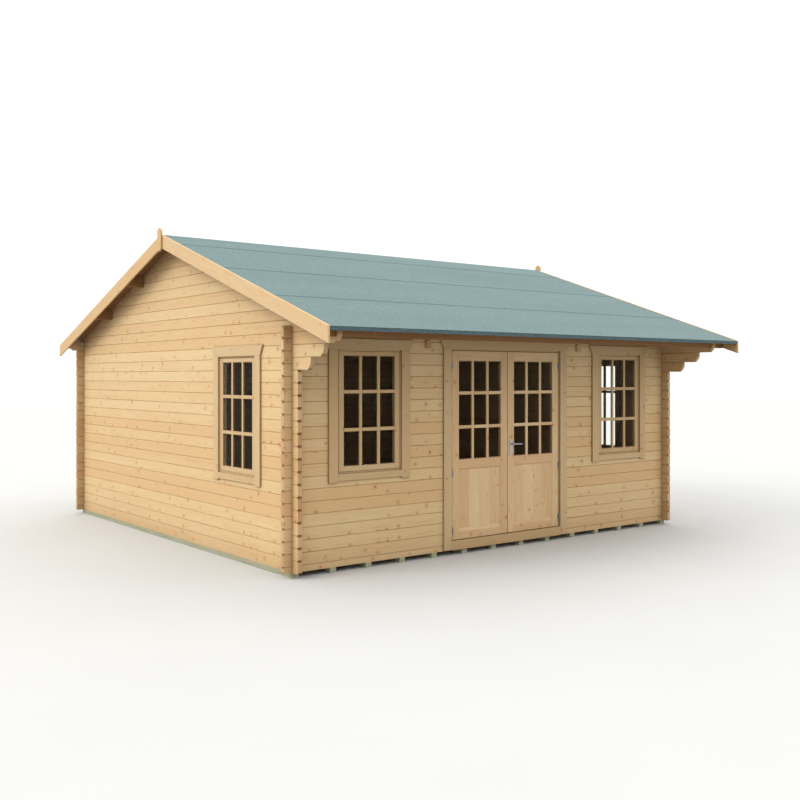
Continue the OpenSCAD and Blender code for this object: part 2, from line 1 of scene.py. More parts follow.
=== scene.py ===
"""Looks of the log cabin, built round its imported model. All lengths are in metres.

The log walls, beams, bearers, glass and steel keep their CAD shape and only get a finish. The
rest is made again here from single boards, felt sheets and turned or swept metal, which ride
on the same bodies: x runs to the right, y to the back and z up, with the front at -y.
"""

import math
import random

import bmesh
import bpy
from mathutils import Matrix, Vector, noise


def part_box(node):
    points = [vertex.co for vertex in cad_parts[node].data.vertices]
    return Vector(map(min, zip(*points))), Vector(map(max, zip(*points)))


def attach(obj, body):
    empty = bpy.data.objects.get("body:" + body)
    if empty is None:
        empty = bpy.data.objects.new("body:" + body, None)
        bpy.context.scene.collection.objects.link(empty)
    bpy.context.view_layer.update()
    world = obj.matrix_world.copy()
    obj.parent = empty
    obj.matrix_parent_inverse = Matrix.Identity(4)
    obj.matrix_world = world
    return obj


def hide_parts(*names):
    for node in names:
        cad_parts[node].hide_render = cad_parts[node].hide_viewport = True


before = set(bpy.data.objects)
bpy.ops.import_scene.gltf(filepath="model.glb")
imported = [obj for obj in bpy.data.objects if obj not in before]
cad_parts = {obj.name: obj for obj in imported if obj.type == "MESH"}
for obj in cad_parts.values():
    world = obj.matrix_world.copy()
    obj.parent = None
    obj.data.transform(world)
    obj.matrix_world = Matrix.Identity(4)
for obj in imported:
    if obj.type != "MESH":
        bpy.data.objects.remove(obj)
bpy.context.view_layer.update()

MM = 0.001
FRONT, BACK = -1, 1
WINDOWS = ("front_left_window", "front_right_window", "left_window", "right_window")

# Logs, floor and roof
LOG_H = 114 * MM
EASE = 1.5 * MM
PITCH = math.radians(18.86)
FLOOR_BOARD_W = 120 * MM
ROOF_BOARD_W = 96 * MM
ROOF_BOARD_V = 2.5 * MM
BOARD_T = 19 * MM
BARGE_H = 147 * MM
BARGE_EASE = 2 * MM
PLUMB_GAP = 0.5 * MM

# Felt: widths down the slope, the lap, and the bead along it
FELT_T = 3 * MM
RIDGE_SHEET_W = 440 * MM
FELT_SHEET_W = 1022 * MM
FELT_LAP = 120 * MM
FELT_ROW = 90 * MM
FELT_COLUMNS = 60
FELT_RIPPLE = 1.2 * MM
DRIP_EASE = 0.8 * MM
DRIP_SET = 0.5 * MM
SEAM_W = 16 * MM
SEAM_STEPS = 240

# Trim boards, linings and stops of the openings
TRIM_W = 101 * MM
TRIM_T = 20 * MM
TRIM_REVEAL = 18 * MM
HEAD_FLARE = 47 * MM
SILL_TRIM_H = 64 * MM
LEG_DROP = 15 * MM
JAMB_T = 22 * MM
STOP_W = 12 * MM
FRAME_D = 70 * MM
SASH_GAP = 3 * MM
DOOR_GAP = 6 * MM

# Sashes and doors: PANE_GRIP is how far the wood laps over the edge of the glass
LEAF_T = 40 * MM
PANES = 3
BAR_W = 33 * MM
OUTER_BAR_T = 4.7 * MM
GLASS_BACK = 9.3 * MM
INNER_BAR_T = 14 * MM
OUTER_BAR_EASE = 1.2 * MM
INNER_BAR_EASE = 6 * MM
BEAD = 7 * MM
PANE_GRIP = 0.6 * MM
PANEL_STRIPS = 4
PANEL_FACE = 12 * MM
PANEL_BEAD = 16 * MM
PANEL_SLOPE = 34 * MM
PANEL_STEP = 2 * MM
PANEL_EASE = 0.6 * MM
MID_RAIL = 92 * MM
BOTTOM_RAIL = 76 * MM

# Handle: the neck's collar and bend, the arm, and where the lock and screws sit
COLLAR_R = 9 * MM
NECK_R = 7 * MM
NECK_BEND = 11 * MM
ARM_R = 6 * MM
ARM_TALL = 1.3
LOCK_UP = 42 * MM
SCREW_IN = 10 * MM

# Places taken from the frame. The bearers end flush with the walls' outer faces.
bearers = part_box("floor_bearers")
on_bearers = bearers[1].z
front_y = bearers[0].y
back_y = bearers[1].y
wall_x = bearers[1].x
mid_y = (front_y + back_y) / 2
roof_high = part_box("roof_boards_back")[1]

# Along the roof's slope: its fall, and how thick its boards and felt are measured upright
fall = math.tan(PITCH)
down_slope = math.cos(PITCH)
board_v = BOARD_T / down_slope
felt_v = FELT_T / down_slope
ridge_z = roof_high.z - board_v
boards_top = ridge_z + board_v


# ---------------------------------------------------------------- materials

def colour(hex_code):
    """sRGB hex to linear RGBA."""
    parts = [int(hex_code[i:i + 2], 16) / 255 for i in (1, 3, 5)]
    linear = [p / 12.92 if p <= 0.04045 else ((p + 0.055) / 1.055) ** 2.4 for p in parts]
    return (*linear, 1.0)


def add(tree, kind, links=None, out=0, **settings):
    """Adds a node with its settings, values and links, and gives back one of its outputs.

    Sockets go by name or number. In a MapRange 0 is the value, 1 and 2 are what it runs
    between, and 3 and 4 what that becomes. In a Mix 0 is the share, and 6 and 7 the colours.
    """
    made = tree.nodes.new("ShaderNode" + kind)
    for name, value in settings.items():
        setattr(made, name, value)
    for socket, value in (links or {}).items():
        if isinstance(value, bpy.types.NodeSocket):
            tree.links.new(value, made.inputs[socket])
        else:
            made.inputs[socket].default_value = value
    return made.outputs[out] if made.outputs else made


def new_material(name, viewport):
    """An empty material: its node tree, and the colour it shows without nodes."""
    made = bpy.data.materials.new(name)
    made.use_nodes = True
    made.node_tree.nodes.clear()
    made.diffuse_color = colour(viewport)
    return made, made.node_tree


# Tones that all the wood shares
BY_THE_KNOT = "#A96F3A"
END_GRAIN = "#8E5A30"
# Dust and painted shade in the joints, and painted shade on the slanting faces of notches and
# noses
JOINT_DUST_AND_SHADE = "#6B431E"
# Painted shade where little sky reaches the wood, and painted shade in its corners
PAINTED_DEEP_SHADE = "#6E4A26"
PAINTED_CREVICE_SHADE = "#6A401A"

# Each board or log has a number from 0 to 1. Times these, it says how far along the grain it
# was cut, in metres, and how far its pattern of knots is shifted, in cells.
GRAIN_SHIFT = 60
KNOT_SHIFT = 37

# How far the dust and painted shade in a wall's joints, and the painted shade in the notches of
# its corners, reach to each side of the joint's line: full at the core and fading out at the
# edge
JOINT_CORE = 2 * MM
JOINT_EDGE = 6 * MM
NOTCH_CORE = 12 * MM
NOTCH_EDGE = 16 * MM


def log_coordinates(tree, along, first_joint, face):
    """Grain coordinates of a wall of logs: along the log, up from its middle, in from the face.

    Also gives a random number for each log, a share of dust and painted shade, and whether it
    is on a log's end. Dust and painted shade lie near a joint, and painted shade lies on the
    slanting cuts of notches and noses, which are sawn and count as joints.
    along is "X" or "Y", first_joint the height of the lowest joint, and face the distance of
    the wall's outer face from the cabin's middle.
    """
    place = add(tree, "TexCoord", out="Object")
    split = add(tree, "SeparateXYZ", {0: place}).node
    length = split.outputs[along]
    depth_axis, middle = ("Y", mid_y) if along == "X" else ("X", 0.0)
    from_mid = add(tree, "Math", {0: split.outputs[depth_axis], 1: middle},
                   operation="SUBTRACT")
    side = add(tree, "Math", {0: from_mid}, operation="SIGN")
    reach = add(tree, "Math", {0: from_mid}, operation="ABSOLUTE")
    depth = add(tree, "Math", {0: face, 1: reach}, operation="SUBTRACT")

    # Which log it is, and how far up it from its middle
    course = add(tree, "Math", {0: split.outputs["Z"], 1: first_joint}, operation="SUBTRACT")
    course = add(tree, "Math", {0: course, 1: LOG_H}, operation="DIVIDE")
    number = add(tree, "Math", {0: course}, operation="FLOOR")
    up = add(tree, "Math", {0: course}, operation="FRACT")
    up = add(tree, "Math", {0: up, 1: LOG_H, 2: -LOG_H / 2}, operation="MULTIPLY_ADD")
    seed = add(tree, "CombineXYZ", {0: number, 1: side, 2: face})
    tone = add(tree, "TexWhiteNoise", {"Vector": seed}, noise_dimensions="3D")
    length = add(tree, "Math", {0: tone, 1: GRAIN_SHIFT, 2: length}, operation="MULTIPLY_ADD")

    # Joints: dust and painted shade along their grooves, more of it in some places than in
    # others
    off = add(tree, "Math", {0: up}, operation="ABSOLUTE")
    patchy = add(tree, "TexNoise", {"Vector": place, "Scale": 2.2, "Detail": 3.0})
    patchy = add(tree, "MapRange", {0: patchy, 1: 0.35, 2: 0.65, 3: 0.02, 4: 0.34})
    dust_and_shade = add(tree, "MapRange", {0: off, 1: LOG_H / 2 - JOINT_EDGE,
                                    2: LOG_H / 2 - JOINT_CORE, 3: 0.0, 4: patchy})

    # Faces that look along the log are its ends, and the ones at a slant are sawn notches and
    # noses, which get painted shade
    facing_out = add(tree, "NewGeometry", out="True Normal")
    facing_out = add(tree, "SeparateXYZ", {0: facing_out}, out=along)
    facing_out = add(tree, "Math", {0: facing_out}, operation="ABSOLUTE")
    end = add(tree, "Math", {0: facing_out, 1: 0.93}, operation="GREATER_THAN")
    slant = add(tree, "Math", {0: facing_out, 1: 0.65, 2: 0.28}, operation="COMPARE")
    sawn = add(tree, "MapRange", {0: off, 1: LOG_H / 2 - NOTCH_EDGE,
                                  2: LOG_H / 2 - NOTCH_CORE, 3: 0.35, 4: 0.75})
    sawn = add(tree, "Math", {0: slant, 1: sawn}, operation="MULTIPLY")
    dust_and_shade = add(tree, "Math", {0: dust_and_shade, 1: sawn}, operation="MAXIMUM")
    return add(tree, "CombineXYZ", {0: length, 1: up, 2: depth}), tone, dust_and_shade, end


def board_coordinates(tree):
    """Grain coordinates and random number that each made board carries. Boards are cut and
    jointed one by one, so that no part of them counts as a log's joint or end."""
    grain = add(tree, "Attribute", out="Vector", attribute_name="grain")
    return grain, add(tree, "Attribute", out="Fac", attribute_name="tone"), 0.0, 0.0


def spruce(name, coordinates, pale, warm, late, knot="#8A5A30", knot_spacing=150,
           knot_share=0.42, ring=9, figure=0.26, rough=0.62, relief=0.18):
    """Planed softwood: sawn boards with growth rings, fine fibre and small knots. Painted shade
    makes it browner where little sky reaches it and in its corners, and dust and painted shade
    darken its joints.

    pale and warm are the two tones that boards vary between, late is the darker late wood.
    knot_spacing is in mm. ring is the ring width in mm: real rings are 2 to 4 mm wide and
    are drawn coarser, so that they show across a whole wall. figure is their strength.
    """
    material, tree = new_material(name, pale)
    grain, tone, dust_and_shade, end = coordinates(tree)
    split = add(tree, "SeparateXYZ", {0: grain}).node
    along, across, depth = split.outputs

    # Knots: one branch in some of the cells, running straight through the board
    cell = knot_spacing * MM
    flat = add(tree, "CombineXYZ", {0: along, 1: across, 2: 0.0})
    flat = add(tree, "VectorMath", {0: flat, "Scale": 1 / cell}, operation="SCALE")
    shift = add(tree, "Math", {0: tone, 1: KNOT_SHIFT}, operation="MULTIPLY")
    shift = add(tree, "CombineXYZ", {0: 0.0, 1: shift, 2: 0.0})
    flat = add(tree, "VectorMath", {0: flat, 1: shift}, operation="ADD")
    cells = add(tree, "TexVoronoi", {"Vector": flat, "Scale": 1.0, "Randomness": 0.9},
                voronoi_dimensions="2D").node
    pick = add(tree, "SeparateColor", {0: cells.outputs["Color"]}).node
    here = add(tree, "Math", {0: pick.outputs[0], 1: knot_share}, operation="LESS_THAN")
    size = add(tree, "MapRange", {0: pick.outputs[1], 3: 5 * MM / cell, 4: 13 * MM / cell})
    away = add(tree, "Math", {0: cells.outputs["Distance"], 1: size}, operation="DIVIDE")
    eye = add(tree, "MapRange", {0: away, 1: 1.15, 2: 0.75, 3: 0.0, 4: here})
    halo = add(tree, "MapRange", {0: away, 1: 3.6, 2: 1.0, 3: 0.0, 4: here},
               interpolation_type="SMOOTHSTEP")

    # Growth rings round a pith that lies a little behind the face, bent round the knots
    stretch = add(tree, "VectorMath", {0: grain, 1: (1.1, 9.0, 9.0)}, operation="MULTIPLY")
    wander = add(tree, "TexNoise", {"Vector": stretch, "Scale": 1.0, "Detail": 2.0})
    pith_up = add(tree, "MapRange", {0: tone, 3: -0.06, 4: 0.06})
    up = add(tree, "Math", {0: across, 1: pith_up}, operation="SUBTRACT")
    behind = add(tree, "Math", {0: depth, 1: -0.028}, operation="SUBTRACT")
    radius = add(tree, "VectorMath", {0: add(tree, "CombineXYZ", {0: up, 1: behind})},
                 out="Value", operation="LENGTH")
    radius = add(tree, "Math", {0: wander, 1: 0.055, 2: radius}, operation="MULTIPLY_ADD")
    radius = add(tree, "Math", {0: halo, 1: 0.010, 2: radius}, operation="MULTIPLY_ADD")
    turns = add(tree, "Math", {0: radius, 1: 2 * math.pi / (ring * MM)}, operation="MULTIPLY")
    rings = add(tree, "Math", {0: turns}, operation="SINE")
    rings = add(tree, "MapRange", {0: rings, 1: 0.1, 2: 1.0}, interpolation_type="SMOOTHSTEP")

    # Fibre: streaks a few mm wide and a few hundred mm long
    stretch = add(tree, "VectorMath", {0: grain, 1: (5.0, 260.0, 260.0)}, operation="MULTIPLY")
    fibre = add(tree, "TexNoise", {"Vector": stretch, "Scale": 1.0, "Detail": 3.0,
                                   "Roughness": 0.6})
    stretch = add(tree, "VectorMath", {0: grain, 1: (0.9, 14.0, 14.0)}, operation="MULTIPLY")
    cloud = add(tree, "TexNoise", {"Vector": stretch, "Scale": 1.0, "Detail": 2.0})

    # Colour: the board's own tone, its late wood, then round and in the knots
    mixed = add(tree, "Math", {0: tone, 1: cloud}, operation="ADD")
    mixed = add(tree, "MapRange", {0: mixed, 1: 0.35, 2: 1.35})
    wood = add(tree, "Mix", {0: mixed, 6: colour(pale), 7: colour(warm)}, out=2,
               data_type="RGBA")
    band = add(tree, "MapRange", {0: fibre, 1: 0.3, 2: 0.8, 3: 0.0, 4: 0.5})
    band = add(tree, "Math", {0: rings, 1: figure, 2: band}, operation="MULTIPLY_ADD")
    wood = add(tree, "Mix", {0: band, 6: wood, 7: colour(late)}, out=2, data_type="RGBA")
    glow = add(tree, "Math", {0: halo, 1: 0.34}, operation="MULTIPLY")
    wood = add(tree, "Mix", {0: glow, 6: wood, 7: colour(BY_THE_KNOT)}, out=2,
               data_type="RGBA")
    dark = add(tree, "MapRange", {0: pick.outputs[2], 3: 0.35, 4: 0.95})
    eye = add(tree, "Math", {0: eye, 1: dark}, operation="MULTIPLY")
    wood = add(tree, "Mix", {0: eye, 6: wood, 7: colour(knot)}, out=2, data_type="RGBA")

    # End grain soaks up more, each log by its own amount, and dust and painted shade lie in the
    # joints and on notch and nose faces
    thirst = add(tree, "Math", {0: tone, 1: 0.35, 2: 0.20}, operation="MULTIPLY_ADD")
    thirst = add(tree, "Math", {0: thirst, 1: end}, operation="MULTIPLY")
    wood = add(tree, "Mix", {0: thirst, 6: wood, 7: colour(END_GRAIN)}, out=2,
               data_type="RGBA")
    wood = add(tree, "Mix", {0: dust_and_shade, 6: wood, 7: colour(JOINT_DUST_AND_SHADE)}, out=2,
               data_type="RGBA")

    # Painted shade: wood that little sky reaches is drawn browner, over half a metre and in
    # each corner
    for distance, lowest, highest, tint in ((500 * MM, 0.20, 0.75, PAINTED_DEEP_SHADE),
                                            (22 * MM, 0.30, 0.80, PAINTED_CREVICE_SHADE)):
        open_air = add(tree, "AmbientOcclusion", {"Distance": distance}, out="AO", samples=5)
        shade = add(tree, "MapRange", {0: open_air, 1: lowest, 2: highest, 3: 0.55, 4: 0.0})
        wood = add(tree, "Mix", {0: shade, 6: wood, 7: colour(tint)}, out=2,
                   data_type="RGBA")

    # Relief: late wood and fibres stand up a little, and are duller
    height = add(tree, "Math", {0: rings, 1: 0.5, 2: fibre}, operation="MULTIPLY_ADD")
    bump = add(tree, "Bump", {"Strength": relief, "Distance": 0.6 * MM, "Height": height})
    matt = add(tree, "MapRange", {0: fibre, 3: rough - 0.07, 4: rough + 0.09})
    skin = add(tree, "BsdfPrincipled", {"Base Color": wood, "Roughness": matt,
                                        "IOR": 1.45, "Normal": bump})
    add(tree, "OutputMaterial", {"Surface": skin})
    return material


def mineral_felt():
    """Bitumen felt with crushed slate pressed into its face: dull, and speckled blue green.

    The grit is 1 to 2 mm across and is drawn at 9 mm, so that it shows from the garden.
    """
    material, tree = new_material("mineral_felt", "#86A09F")
    place = add(tree, "TexCoord", out="Object")
    grit = add(tree, "TexNoise", {"Vector": place, "Scale": 1 / (9 * MM), "Detail": 2.0,
                                  "Roughness": 0.7})
    fleck = add(tree, "TexVoronoi", {"Vector": place, "Scale": 1 / (16 * MM)}, out="Color")
    fleck = add(tree, "SeparateColor", {0: fleck})
    stretch = add(tree, "VectorMath", {0: place, 1: (0.5, 2.2, 2.2)}, operation="MULTIPLY")
    cloud = add(tree, "TexNoise", {"Vector": stretch, "Scale": 1.0, "Detail": 4.0})
    spread = add(tree, "MapRange", {0: grit, 1: 0.36, 2: 0.64})
    face = add(tree, "Mix", {0: spread, 6: colour("#495F5E"), 7: colour("#647978")}, out=2,
               data_type="RGBA")
    pick = add(tree, "MapRange", {0: fleck, 1: 0.80, 2: 1.0, 3: 0.0, 4: 0.5})
    face = add(tree, "Mix", {0: pick, 6: face, 7: colour("#758582")}, out=2, data_type="RGBA")
    shade = add(tree, "MapRange", {0: cloud, 1: 0.35, 2: 0.7, 3: 0.0, 4: 0.35})
    face = add(tree, "Mix", {0: shade, 6: face, 7: colour("#476064")}, out=2, data_type="RGBA")
    bump = add(tree, "Bump", {"Strength": 0.55, "Distance": 1.2 * MM, "Height": grit})
    skin = add(tree, "BsdfPrincipled", {"Base Color": face, "Roughness": 0.92, "IOR": 1.5,
                                        "Normal": bump})
    add(tree, "OutputMaterial", {"Surface": skin})
    return material


def bitumen():
    """Bare bitumen: nearly black, and a little shiny. It draws the dark beads along the felt's
    laps, and, as painted shade, the turned down drip at the eaves and the key slots."""
    material, tree = new_material("bitumen_and_painted_shade", "#4A5856")
    place = add(tree, "TexCoord", out="Object")
    grit = add(tree, "TexNoise", {"Vector": place, "Scale": 1 / (14 * MM), "Detail": 3.0})
    spread = add(tree, "MapRange", {0: grit, 1: 0.35, 2: 0.7})
    face = add(tree, "Mix", {0: spread, 6: colour("#263A3F"), 7: colour("#435A5E")}, out=2,
               data_type="RGBA")
    bump = add(tree, "Bump", {"Strength": 0.5, "Distance": 1.0 * MM, "Height": grit})
    skin = add(tree, "BsdfPrincipled", {"Base Color": face, "Roughness": 0.72, "IOR": 1.5,
                                        "Normal": bump})
    add(tree, "OutputMaterial", {"Surface": skin})
    return material


def treated_softwood():
    """Rough sawn and pressure treated: grey green, with saw marks across the grain."""
    material, tree = new_material("treated_softwood", "#7E7F62")
    place = add(tree, "TexCoord", out="Object")
    stretch = add(tree, "VectorMath", {0: place, 1: (60.0, 3.0, 60.0)}, operation="MULTIPLY")
    fibre = add(tree, "TexNoise", {"Vector": stretch, "Scale": 1.0, "Detail": 4.0})
    saw = add(tree, "TexWave", {"Vector": place, "Scale": 1 / (36 * MM), "Distortion": 1.5,
                                "Detail": 1.0}, out="Fac", bands_direction="Y")
    cloud = add(tree, "TexNoise", {"Vector": place, "Scale": 6.0, "Detail": 3.0})
    wood = add(tree, "Mix", {0: fibre, 6: colour("#63674B"), 7: colour("#A3A084")}, out=2,
               data_type="RGBA")
    blotch = add(tree, "MapRange", {0: cloud, 1: 0.4, 2: 0.7, 3: 0.0, 4: 0.5})
    wood = add(tree, "Mix", {0: blotch, 6: wood, 7: colour("#8E8F86")}, out=2,
               data_type="RGBA")
    height = add(tree, "Math", {0: saw, 1: 0.6, 2: fibre}, operation="MULTIPLY_ADD")
    bump = add(tree, "Bump", {"Strength": 0.5, "Distance": 1.0 * MM, "Height": height})
    skin = add(tree, "BsdfPrincipled", {"Base Color": wood, "Roughness": 0.88, "IOR": 1.45,
                                        "Normal": bump})
    add(tree, "OutputMaterial", {"Surface": skin})
    return material


def float_glass():
    """Clear float glass: almost no colour, and so clean that it barely mirrors the sky."""
    material, tree = new_material("float_glass", "#C8D2D2")
    place = add(tree, "TexCoord", out="Object")
    film = add(tree, "TexNoise", {"Vector": place, "Scale": 5.0, "Detail": 2.0})
    haze = add(tree, "MapRange", {0: film, 3: 0.0, 4: 0.012})
    skin = add(tree, "BsdfPrincipled", {"Base Color": colour("#FBFDFC"), "Roughness": haze,
                                        "IOR": 1.06, "Transmission Weight": 1.0})
    add(tree, "OutputMaterial", {"Surface": skin})
    return material


def steel(name, base, light, rough, brush, relief):
    """Plated or satin steel: a grey mirror, dulled by fine brush marks along one axis.

    The marks are 0.1 mm wide and are drawn at about 1 mm.
    """
    material, tree = new_material(name, base)
    place = add(tree, "TexCoord", out="Object")
    stretch = add(tree, "VectorMath", {0: place, 1: brush}, operation="MULTIPLY")
    marks = add(tree, "TexNoise", {"Vector": stretch, "Scale": 1.0, "Detail": 3.0})
    face = add(tree, "Mix", {0: marks, 6: colour(base), 7: colour(light)}, out=2,
               data_type="RGBA")
    dull = add(tree, "MapRange", {0: marks, 3: rough - 0.08, 4: rough + 0.12})
    bump = add(tree, "Bump", {"Strength": relief, "Distance": 0.1 * MM, "Height": marks})
    skin = add(tree, "BsdfPrincipled", {"Base Color": face, "Metallic": 1.0,
                                        "Roughness": dull, "Normal": bump})
    add(tree, "OutputMaterial", {"Surface": skin})
    return material


def studio_floor():
    """Matt pale floor paint, rolled: white, with the faintest mottling."""
    material, tree = new_material("studio_floor", "#F2F2F0")
    place = add(tree, "TexCoord", out="Object")
    cloud = add(tree, "TexNoise", {"Vector": place, "Scale": 0.7, "Detail": 3.0})
    paint = add(tree, "Mix", {0: cloud, 6: colour("#AEAEAC"), 7: colour("#B3B3B1")}, out=2,
                data_type="RGBA")
    skin = add(tree, "BsdfPrincipled", {"Base Color": paint, "Roughness": 0.95})
    add(tree, "OutputMaterial", {"Surface": skin})
    return material


# Logs: kiln dried spruce, planed on all sides, so smooth and pale. The joints of the front
# and back walls lie half a log off those of the side walls, where the corners interlock.
half_joint = on_bearers + LOG_H / 2
cross_log = spruce("planed_spruce_cross_logs",
                   lambda tree: log_coordinates(tree, "X", half_joint, back_y - mid_y),
                   "#C5B087", "#BD9E73", "#AB8550")
side_log = spruce("planed_spruce_side_logs",
                  lambda tree: log_coordinates(tree, "Y", on_bearers, wall_x),
                  "#C5B087", "#BD9E73", "#AB8550")
# Beams and roof boards: the same spruce, drawn dark brown as painted shade of the roof
shaded_beam_wood = spruce("planed_spruce_beams_painted_shade",
                   lambda tree: log_coordinates(tree, "X", on_bearers, 2 * wall_x),
                   "#8A6635", "#7E5628", "#6B4316", ring=12)
shaded_roof_wood = spruce("planed_spruce_roof_boards_painted_shade", board_coordinates, "#825E2E", "#785023",
                   "#643E15", knot_share=0.40)
board_wood = spruce("planed_spruce_floor_boards", board_coordinates, "#C4AB83", "#BA986C",
                    "#A8804D", knot_share=0.34)
# Joinery: picked spruce, planed and sanded, which shows narrower rings and fewer knots
# Its tones are set darker than the logs', partly as painted shade from the roof's overhang
trim_wood = spruce("planed_spruce_joinery", board_coordinates, "#B6A17B", "#AE936A", "#A07C4F",
                   knot_spacing=170, knot_share=0.26, ring=7)
door_wood = spruce("planed_spruce_doors", board_coordinates, "#CEB991", "#BE9F78", "#A9814E",
                   knot_spacing=150, knot_share=0.36, ring=7, figure=0.34)
barge_wood = spruce("planed_spruce_barge_boards", board_coordinates, "#BBA27C", "#B59566",
                    "#A68153", knot_spacing=160, knot_share=0.30, ring=7, figure=0.16)
felt_face = mineral_felt()
bearer_wood = treated_softwood()
bitumen_and_painted_shade = bitumen()
pane_glass = float_glass()
zinc = steel("zinc_plated_steel", "#6B6D70", "#9A9C9F", 0.45, (300.0, 300.0, 30.0), 0.2)
satin = steel("satin_stainless_steel", "#8C8D8E", "#BFC0C1", 0.30, (900.0, 900.0, 60.0), 0.15)


def dress(material, *nodes):
    """Gives CAD nodes their finish."""
    for name in nodes:
        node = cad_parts[name]
        node.data.materials.clear()
        node.data.materials.append(material)


dress(cross_log, "front_wall_left", "front_wall_right", "front_wall_header", "back_wall")
dress(side_log, "left_wall", "right_wall", "left_gable", "right_gable", "beam_ends")
dress(shaded_beam_wood, "ridge_beam", "purlins", "eaves_beam")
dress(bearer_wood, "floor_bearers")
dress(pane_glass, *[w + "_glass" for w in WINDOWS], "left_door_glass", "right_door_glass")
dress(zinc, "door_frame_hinges", "left_door_hinges", "right_door_hinges")
dress(satin, "door_handle_plates")

# ---------------------------------------------------------------- boards

draw = random.Random(11)
UPRIGHT = math.pi / 2
# Outlines are drawn in x and z, and depths in y: these stand them across the cabin or lay
# them down flat
ACROSS = Matrix(((0, 1, 0, 0), (1, 0, 0, 0), (0, 0, 1, 0), (0, 0, 0, 1)))
LEVEL = Matrix(((1, 0, 0, 0), (0, 0, 1, 0), (0, 1, 0, 0), (0, 0, 0, 1)))


class Stack:
    """Boards that are joined into one piece. Each keeps its own grain and its own tone."""

    def __init__(self):
        self.verts, self.faces, self.grain, self.tone = [], [], [], []

    def take(self, shape, place, grain, middle):
        """Adds a bmesh: grain is the angle of the grain in its x and z, 0 along x."""
        tone = draw.random()
        first = len(self.verts)
        shape.verts.index_update()
        for v in shape.verts:
            x, y, z = v.co
            along = x * math.cos(grain) + z * math.sin(grain)
            across = z * math.cos(grain) - x * math.sin(grain) - middle
            self.verts.append(place @ v.co)
            self.grain.append((along + GRAIN_SHIFT * tone, across, y))
            self.tone.append(tone)
        mirrored = place.determinant() < 0
        for f in shape.faces:
            ring = [first + v.index for v in f.verts]
            self.faces.append(ring[::-1] if mirrored else ring)
        shape.free()

    def board(self, outline, y0, y1, place=Matrix(), grain=0.0, ease=EASE):
        """One board: its outline in x and z runs from y0 to y1, and its edges are eased."""
        shape = bmesh.new()
        face = shape.faces.new([shape.verts.new((x, y0, z)) for x, z in outline])
        grown = bmesh.ops.extrude_face_region(shape, geom=[face])["geom"]
        moved = [v for v in grown if isinstance(v, bmesh.types.BMVert)]
        bmesh.ops.translate(shape, vec=(0, y1 - y0, 0), verts=moved)
        bmesh.ops.recalc_face_normals(shape, faces=shape.faces)
        bmesh.ops.bevel(shape, geom=shape.edges, offset=ease, segments=1, affect="EDGES",
                        clamp_overlap=True)
        across = [z * math.cos(grain) - x * math.sin(grain) for x, z in outline]
        self.take(shape, place, grain, (min(across) + max(across)) / 2)

    def slope_ring(self, x0, z0, x1, z1, side, top, bottom, y0, y1, place):
        """A mitred bevel round the inside of a rectangle, from y0 at its edge down to y1."""
        outer = [(x0, z0), (x1, z0), (x1, z1), (x0, z1)]
        inner = [(x0 + side, z0 + bottom), (x1 - side, z0 + bottom),
                 (x1 - side, z1 - top), (x0 + side, z1 - top)]
        for i, grain in enumerate((0.0, UPRIGHT, 0.0, UPRIGHT)):
            j = (i + 1) % 4
            shape = bmesh.new()
            ends = [[shape.verts.new((outer[k][0], y0, outer[k][1])),
                     shape.verts.new((outer[k][0], y1, outer[k][1])),
                     shape.verts.new((inner[k][0], y1, inner[k][1]))] for k in (i, j)]
            shape.faces.new(ends[0])
            shape.faces.new(ends[1][::-1])
            for a in range(3):
                b = (a + 1) % 3
                shape.faces.new((ends[0][b], ends[0][a], ends[1][a], ends[1][b]))
            bmesh.ops.recalc_face_normals(shape, faces=shape.faces)
            self.take(shape, place, grain, 0.0)


def rect(x0, z0, x1, z1):
    """Outline of a square cut board."""
    return [(x0, z0), (x1, z0), (x1, z1), (x0, z1)]


def finish_piece(name, mesh, material, body, slot, *stands_for):
    """Links a piece, lets it ride on its body and hides the CAD nodes it stands for."""
    mesh.materials.append(material)
    made = bpy.data.objects.new(name, mesh)
    bpy.context.scene.collection.objects.link(made)
    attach(made, body)
    if stands_for:
        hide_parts(*stands_for)
    return made


def closed_mesh(name, verts, faces):
    """A mesh whose faces all look outwards."""
    mesh = bpy.data.meshes.new(name)
    mesh.from_pydata(verts, [], faces)
    shape = bmesh.new()
    shape.from_mesh(mesh)
    bmesh.ops.recalc_face_normals(shape, faces=shape.faces)
    shape.to_mesh(mesh)
    shape.free()
    return mesh


def boards_piece(name, stack, material, body, slot, *stands_for):
    """Joins a stack of boards into one piece, whose points carry their grain and tone."""
    mesh = bpy.data.meshes.new(name)
    mesh.from_pydata(stack.verts, [], stack.faces)
    grain = mesh.attributes.new("grain", "FLOAT_VECTOR", "POINT")
    grain.data.foreach_set("vector", [c for g in stack.grain for c in g])
    mesh.attributes.new("tone", "FLOAT", "POINT").data.foreach_set("value", stack.tone)
    return finish_piece(name, mesh, material, body, slot, *stands_for)


def floor_planks():
    """Floor boards across the bearers, the first one notched round the door frame."""
    low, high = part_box("floor_boards")
    door_low, door_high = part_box("door_frame")
    count = round((high.y - low.y) / FLOOR_BOARD_W)
    width = (high.y - low.y) / count
    stack = Stack()
    for i in range(count):
        near, far = low.y + i * width, low.y + (i + 1) * width
        outline = rect(low.x, near, high.x, far)
        if i == 0:
            notch = front_y + FRAME_D
            outline[1:1] = [(door_low.x, near), (door_low.x, notch), (door_high.x, notch),
                            (door_high.x, near)]
        stack.board(outline, low.z, high.z, LEVEL)
    boards_piece("floor_planks", stack, board_wood, "cabin", "floor_boards", "floor_boards")


